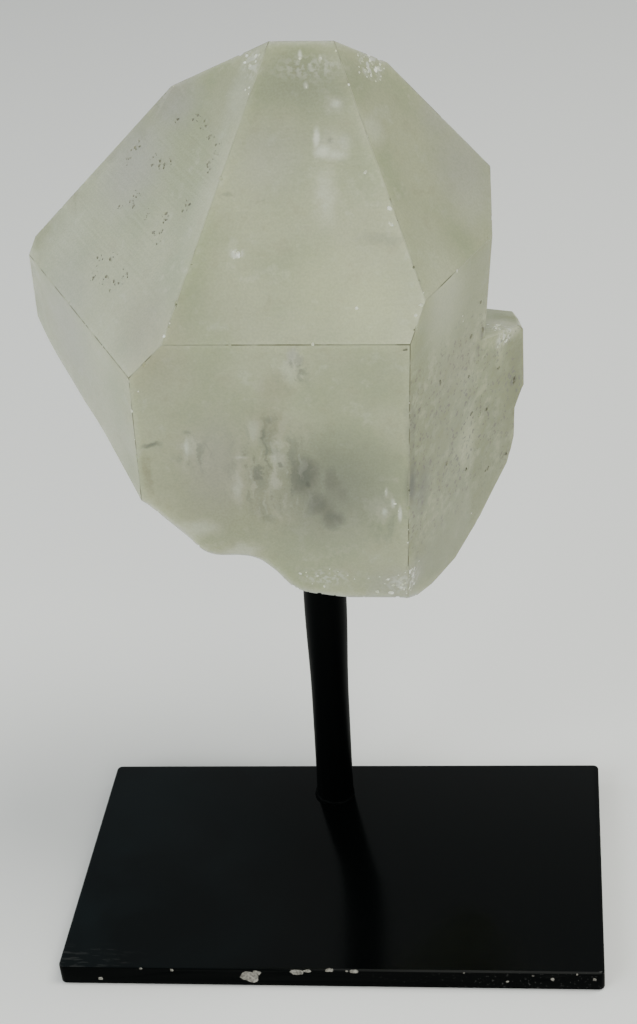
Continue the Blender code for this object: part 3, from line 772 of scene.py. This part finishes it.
def fill_with_quartz(tree, shader, roughness, transmission, glow_depth):
    """Light bends into the quartz, loses colour on its way through it and scatters back out of it."""
    shader.inputs["Roughness"].default_value = roughness
    shader.inputs["IOR"].default_value = QUARTZ_IOR
    shader.inputs["Transmission Weight"].default_value = transmission
    shader.inputs["Subsurface Weight"].default_value = 1.0
    shader.inputs["Subsurface Radius"].default_value = (1.0, 1.0, 0.9)
    shader.inputs["Subsurface Scale"].default_value = glow_depth
    inside = wire(tree, "ShaderNodeVolumeAbsorption", {"Color": ABSORBED, "Density": ABSORPTION})
    tree.links.new(inside.outputs[0], tree.nodes["Material Output"].inputs["Volume"])


def quartz(name, roughness, transmission, marked=False):
    """Cloudy quartz. Its light scatters inside, so it glows softly and shows no hard shade."""
    finish, tree, shader = finish_of(name)
    place = place_on_crystal(tree)
    depth, level = wire(tree, "ShaderNodeSeparateXYZ", {0: place}).outputs[1:]
    wisps, wander = noise_at(tree, place, 0.3, 4.0, Roughness=0.65)
    grain = noise_at(tree, place, 2.6, 1.0)[0]
    colour, etched = shaded_right_side(tree, level, wisps, cloudy_colour(tree, place, wisps))
    height = product(tree, grain, 0.35)
    if marked:
        # the veils' outlines wander, the small bright and deep ones less
        wander = vector_maths(tree, "SUBTRACT", wander, (0.5, 0.5, 0.5))
        ragged = vector_maths(tree, "ADD", place, vector_maths(tree, "SCALE", wander, 3.5))
        crisp = vector_maths(tree, "ADD", place, vector_maths(tree, "SCALE", wander, 0.8))
        colour = veiled(tree, ragged, colour, ("yellow", "lilac", "brown", "olive", "pale", "dark"))
        colour = front_cracks(tree, ragged, colour)
        colour = looser_behind(tree, ragged, depth, colour)
        colour = shattered(tree, place, colour)
        colour = veiled(tree, crisp, colour, ("bright", "deep"))
        colour = pale_strip(tree, place, level, colour)
        colour = peppered(tree, ragged, wisps, etched, colour)
        height = calculated(tree, "ADD", height, product(tree, level_lines(tree, place), 0.5))
    colour = vector_maths(tree, "SCALE", colour, spread(tree, grain, 0.25, 0.75, 0.94, 1.05))
    bump = wire(tree, "ShaderNodeBump", {"Strength": 0.5, "Distance": 0.12 * MM, "Height": height})
    tree.links.new(colour, shader.inputs["Base Color"])
    tree.links.new(bump.outputs[0], shader.inputs["Normal"])
    fill_with_quartz(tree, shader, roughness, transmission, GLOW_DEPTH)
    return finish


def broken_quartz(name, colour, other, roughness, transmission, mottle, shine=0.5, patches=1.3, faint_on=()):
    """Small broken places: patches of two colours over the same quartz, only the other along faint_on."""
    finish, tree, shader = finish_of(name)
    spots = noise_at(tree, place_on_crystal(tree), patches, 4.0)[0]
    share = spread(tree, spots, 0.4, 0.6, 0.0, mottle)
    for normal in faint_on:
        share = calculated(tree, "MAXIMUM", share, facing(tree, normal))
    tree.links.new(mixed(tree, share, colour, other), shader.inputs["Base Color"])
    shader.inputs["Specular IOR Level"].default_value = shine
    fill_with_quartz(tree, shader, roughness, transmission, SHALLOW_GLOW)
    return finish


grown_finish = quartz("grown faces", 0.26, 0.40, marked=True)
break_finish = quartz("dull break", 0.30, 0.42)
# painted shade: the two tip edges beside the upper front face take the darker faint colour all along
soft_edges = [(tip_normal(0) + tip_normal(beside)).normalized() for beside in (60, 300)]
edge_lines_and_shade = broken_quartz(
    "dark edge lines and painted shade", EDGE_LINE_DARK, EDGE_LINE_FAINT_SHADE, 0.8, 0.0, 0.7, shine=0.1, patches=0.2, faint_on=soft_edges
)
crushed_finish = broken_quartz("crushed white quartz", CRUSHED, CLOUDY, 0.35, 0.1, 0.7, shine=0.6)
stained_finish = broken_quartz("stained pits", STAIN, CLOUDY, 0.9, 0.0, 0.25, shine=0.1)

PIT_FLATNESS, PIT_RAGGEDNESS = 0.55, 1.3  # depth as a share of width, and roughness of the smallest
# Where it was struck or etched: (finish, count at each place, how far they stray, radii, places)
STRUCK = (
    (crushed_finish, 3, 1.0, (0.15, 0.42), (
        (-9.7, -2.2, 68.8), (-7.7, -4.4, 69.6), (-8.7, -4.7, 68.3), (-9.0, -8.4, 65.7),
        (-4.5, -2.0, 70.5))),
    (crushed_finish, 5, 1.6, (0.15, 0.45), (
        (10.8, -1.0, 67.8), (11.8, -0.7, 66.9), (12.7, -0.4, 66.2), (11.1, -2.7, 66.4),
        (12.3, -2.8, 65.0), (10.1, -3.7, 66.9), (9.0, -1.2, 69.0))),
    (crushed_finish, 1, 0.3, (0.2, 0.38), (
        (0.7, -8.3, 66.5), (-0.3, -5.6, 70.1), (3.1, -5.7, 69.8), (5.8, -4.9, 70.8), (8.0, -8.2, 66.6),
        (10.5, -17.5, 54.8), (1.6, FRONT, 32.0), (9.2, -31.8, 36.7), (19.5, -32.4, 35.8),
        (27.9, -19.0, 26.9), (27.9, -18.9, 25.6), (-28.8, -35.0, 22.7))),
    (crushed_finish, 2, 0.35, (0.2, 0.42), (
        (15.1, -22.7, 48.2), (14.8, -21.2, 50.0), (20.2, -31.3, 37.3), (-23.4, -34.4, 33.3))),
    (crushed_finish, 6, 0.6, (0.18, 0.42), ((-11.0, -25.9, 44.1),)),
    (crushed_finish, 1, 0.4, (0.1, 0.25), ((16.8, FRONT, -3.9), (15.5, FRONT, -2.2), (14.5, FRONT, 0.1))),
    (crushed_finish, 2, 1.5, (0.12, 0.36), (
        (0.1, FRONT, -19.9), (1.9, FRONT, -21.6), (4.8, FRONT, -18.6), (7.5, FRONT, -21.1),
        (-1.8, FRONT, -19.0))),
    (crushed_finish, 8, 2.2, (0.14, 0.46), (
        (16.1, FRONT, -21.0), (17.8, -35.0, -22.3), (19.7, -33.4, -21.0), (13.2, FRONT, -22.3))),
    (crushed_finish, 6, 1.6, (0.15, 0.45), ((35.4, -7.0, 14.2), (36.4, -6.0, 14.0), (35.0, -3.5, 14.4))),
    (stained_finish, 7, 1.1, (0.11, 0.36), (
        (-22.6, 0.3, 56.2), (-18.5, -3.8, 58.1), (-17.1, -6.3, 58.1), (-15.7, -9.3, 57.7),
        (-14.6, -12.7, 56.7), (-15.8, -14.0, 54.5), (-25.7, -4.9, 49.5), (-26.9, -2.9, 49.4),
        (-24.1, -6.4, 50.4), (-30.8, 3.1, 49.0), (-31.7, 1.6, 47.0), (-33.6, -4.5, 41.1),
        (-30.5, -5.6, 43.7), (-30.6, -6.8, 42.8), (-28.1, -10.8, 43.1), (-26.1, -15.5, 42.3),
        (-25.0, -17.4, 42.2), (-24.2, -14.6, 44.9), (-20.2, -16.5, 48.2))),
    (stained_finish, 7, 1.2, (0.11, 0.36), (
        (-37.2, -9.9, 33.6), (-38.1, -12.0, 31.3), (-36.1, -14.7, 31.7), (-34.7, -12.2, 35.0),
        (-33.8, -17.4, 32.6), (-32.0, -17.3, 34.6))),
    (stained_finish, 2, 0.4, (0.3, 0.65), (
        (31.1, -13.4, 26.2), (31.7, -12.4, 19.5), (29.6, -16.1, 20.9), (34.7, -7.1, 7.8),
        (24.0, -25.7, 17.6), (30.1, -15.2, 2.7), (32.8, -10.5, 0.0), (25.4, -23.4, -2.7),
        (33.3, -9.6, -14.7), (36.9, -3.4, -15.6), (29.5, -16.3, -9.5), (29.4, -16.3, 12.2),
        (17.8, -35.2, 31.4))),
    (stained_finish, 6, 0.5, (0.3, 0.7), ((38.6, -3.3, 1.6),)),
    (crushed_finish, 5, 1.8, (0.15, 0.5), (
        (-16.0, 29.5, 22.0), (8.0, 29.0, 33.0), (30.0, 16.0, 34.0), (-38.0, 10.0, 30.0),
        (2.0, 10.0, 62.0))),
    (stained_finish, 5, 2.2, (0.12, 0.34), (
        (-4.0, 22.0, 44.0), (10.0, 18.0, 48.0), (-10.0, 29.5, 8.0), (12.0, 29.5, 20.0),
        (-30.0, 22.0, 24.0), (34.0, 10.0, 20.0))),
)


def by_chance(tree, seed, low, high):
    """A random number, or a random vector, between low and high for each lump."""
    if isinstance(low, tuple):
        inputs = {0: low, 1: high, "Seed": seed}
        return wire(tree, "FunctionNodeRandomValue", inputs, data_type="FLOAT_VECTOR").outputs[0]
    inputs = {2: low, 3: high, "Seed": seed}
    return wire(tree, "FunctionNodeRandomValue", inputs, data_type="FLOAT").outputs[1]


def bites_tree():
    """Lumps round given places, moved onto a body's surface: they bite small pits and chips out of it."""
    tree = bpy.data.node_groups.new("bites", "GeometryNodeTree")
    numbers = {"Stray": 1.0, "Smallest": 0.2, "Largest": 0.6, "Flatness": 0.6, "Raggedness": 0.2}
    sockets = [("Geometry", "NodeSocketGeometry", None), ("Body", "NodeSocketObject", None)]
    sockets += [("Count", "NodeSocketInt", 4)]
    sockets += [(name, "NodeSocketFloat", value) for name, value in numbers.items()]
    sockets += [("Seed", "NodeSocketInt", 1), ("Finish", "NodeSocketMaterial", None)]
    for name, kind, value in sockets:
        socket = tree.interface.new_socket(name=name, in_out="INPUT", socket_type=kind)
        if value is not None:
            socket.default_value = value
    tree.interface.new_socket(name="Geometry", in_out="OUTPUT", socket_type="NodeSocketGeometry")
    given = wire(tree, "NodeGroupInput").outputs
    body = wire(tree, "GeometryNodeObjectInfo", {"Object": given["Body"]}).outputs["Geometry"]
    # several points stray from each place and settle on the surface
    points = wire(tree, "GeometryNodeMeshToPoints", {0: given["Geometry"]})
    inputs = {0: points.outputs[0], "Amount": given["Count"]}
    many = wire(tree, "GeometryNodeDuplicateElements", inputs, domain="POINT").outputs[0]
    way = by_chance(tree, given["Seed"], (-1.0, -1.0, -1.0), (1.0, 1.0, 1.0))
    stray = vector_maths(tree, "SCALE", way, given["Stray"])
    many = wire(tree, "GeometryNodeSetPosition", {0: many, "Offset": stray}).outputs[0]
    nearest = wire(tree, "GeometryNodeProximity", {0: body}, target_element="FACES").outputs["Position"]
    many = wire(tree, "GeometryNodeSetPosition", {0: many, "Position": nearest}).outputs[0]
    # each lump stands on the face and is turned, sized and flattened by chance
    facing_out = wire(tree, "GeometryNodeSampleNearestSurface", {0: body}, data_type="FLOAT_VECTOR")
    tree.links.new(wire(tree, "GeometryNodeInputNormal").outputs[0], facing_out.inputs["Value"])
    upright = wire(tree, "FunctionNodeAlignRotationToVector", {"Vector": facing_out.outputs[0]}, axis="Z")
    spin = by_chance(tree, given["Seed"], 0.0, math.tau)
    inputs = {0: upright.outputs[0], 1: wire(tree, "ShaderNodeCombineXYZ", {2: spin}).outputs[0]}
    turned = wire(tree, "FunctionNodeRotateRotation", inputs, rotation_space="LOCAL").outputs[0]
    few_large = calculated(tree, "POWER", by_chance(tree, given["Seed"], 0.0, 1.0), 2.0)
    radius = ramp(tree, few_large, 0.0, 1.0, given["Smallest"], given["Largest"])
    shape = by_chance(tree, given["Seed"], (0.6, 0.6, 1.0), (1.3, 1.0, 1.0))
    flat = wire(tree, "ShaderNodeCombineXYZ", {0: 1.0, 1: 1.0, 2: given["Flatness"]}).outputs[0]
    scale = vector_maths(tree, "SCALE", vector_maths(tree, "MULTIPLY", shape, flat), radius)
    lump = wire(tree, "GeometryNodeMeshIcoSphere", {"Radius": 1.0, "Subdivisions": 2}).outputs[0]
    inputs = {0: many, "Instance": lump, "Rotation": turned, "Scale": scale}
    lumps = wire(tree, "GeometryNodeInstanceOnPoints", inputs).outputs[0]
    lumps = wire(tree, "GeometryNodeRealizeInstances", {0: lumps}).outputs[0]
    # the lumps' outlines are roughened
    rough = wire(tree, "ShaderNodeTexNoise", {"Scale": 1.9, "Detail": 1.0}).outputs["Color"]
    rough = vector_maths(tree, "SUBTRACT", rough, (0.5, 0.5, 0.5))
    rough = vector_maths(tree, "SCALE", rough, given["Raggedness"])
    lumps = wire(tree, "GeometryNodeSetPosition", {0: lumps, "Offset": rough}).outputs[0]
    lumps = wire(tree, "GeometryNodeSetMaterial", {0: lumps, "Material": given["Finish"]}).outputs[0]
    wire(tree, "NodeGroupOutput", {0: lumps})
    return tree


def bites(tree, body, places, **values):
    """A cutter of lumps round the places, made by the node tree; values are its named inputs."""
    mesh = bpy.data.meshes.new("bites")
    mesh.from_pydata([tuple(place) for place in places], [], [])
    cutter = bpy.data.objects.new("bites", mesh)
    scene.collection.objects.link(cutter)
    modifier = cutter.modifiers.new("Bites", "NODES")
    modifier.node_group = tree
    sockets = [item for item in tree.interface.items_tree if item.in_out == "INPUT"]
    identifiers = {socket.name: socket.identifier for socket in sockets}
    for name, value in {"Body": body, **values}.items():
        modifier[identifiers[name]] = value
    settle(cutter)
    return cutter


def joined(objects, finishes):
    """One object out of several cutters, each with its finish."""
    bm = bmesh.new()
    slots = list(dict.fromkeys(finishes))
    for obj, finish in zip(objects, finishes):
        before = len(bm.faces)
        bm.from_mesh(obj.data)
        bm.faces.ensure_lookup_table()
        for index in range(before, len(bm.faces)):
            bm.faces[index].material_index = slots.index(finish)
        bpy.data.objects.remove(obj, do_unlink=True)
    return piece_from("joined cutters", bm, *slots)


def edge_places(body, spacing, seed):
    """Places scattered along the body's sharp edges, about so far apart."""
    bm = bmesh.new()
    bm.from_mesh(body.data)
    chance = random.Random(seed)
    places = []
    for edge in bm.edges:
        if len(edge.link_faces) == 2 and edge.calc_face_angle() > math.radians(12):
            if chance.random() < edge.calc_length() / spacing:
                places.append(edge.verts[0].co.lerp(edge.verts[1].co, chance.random()))
    bm.free()
    return places


def cut_bites(body, struck):
    """Cuts every struck place out of the body, each leaving its own finish in the pit."""
    tree = bites_tree()
    cutters = []
    for seed, (finish, count, stray, radii, places) in enumerate(struck):
        values = {"Count": count, "Stray": stray, "Smallest": radii[0], "Largest": radii[1]}
        values |= {"Flatness": PIT_FLATNESS, "Raggedness": PIT_RAGGEDNESS * radii[0]}
        cutters.append(bites(tree, body, places, Seed=seed, Finish=finish, **values))
    finishes = [finish for finish, *others in struck]
    # the union makes one clean cutter of lumps that run into each other
    cutter = joined(cutters[1:], finishes[1:])
    first = joined(cutters[:1], finishes[:1])
    boolean(cutter, first, "UNION", crossing=True)
    settle(cutter, first)
    boolean(body, cutter, "DIFFERENCE")
    settle(body, cutter)


crystal = grown_solid("crystal", crystal_planes(), grown_finish, edge_lines_and_shade)
side_growth = grown_solid("side growth", GROWTH_FACES, grown_finish, edge_lines_and_shade, GROWTH_RUBBED)
boolean(crystal, side_growth, "UNION")
edge_nicks = (
    (edge_lines_and_shade, 1, 0.15, (0.1, 0.3), edge_places(crystal, 16.0, 1)),
    (grown_finish, 1, 0.15, (0.2, 0.7), edge_places(crystal, 26.0, 2)),
    (crushed_finish, 1, 0.15, (0.1, 0.3), edge_places(crystal, 70.0, 3)),
)
settle(crystal, side_growth)
for cutter in (break_block(break_finish), drill(break_finish)):
    boolean(crystal, cutter, "DIFFERENCE")
    settle(crystal, cutter)
cut_bites(crystal, STRUCK + edge_nicks)
for polygon in crystal.data.polygons:
    # the grown faces stay flat to their edges
    polygon.use_smooth = crystal.data.materials[polygon.material_index] is not grown_finish
crystal.data.set_sharp_from_angle(angle=math.radians(32))
crystal.data.transform(crystal_place)
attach(crystal, "root")
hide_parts("quartz_crystal")
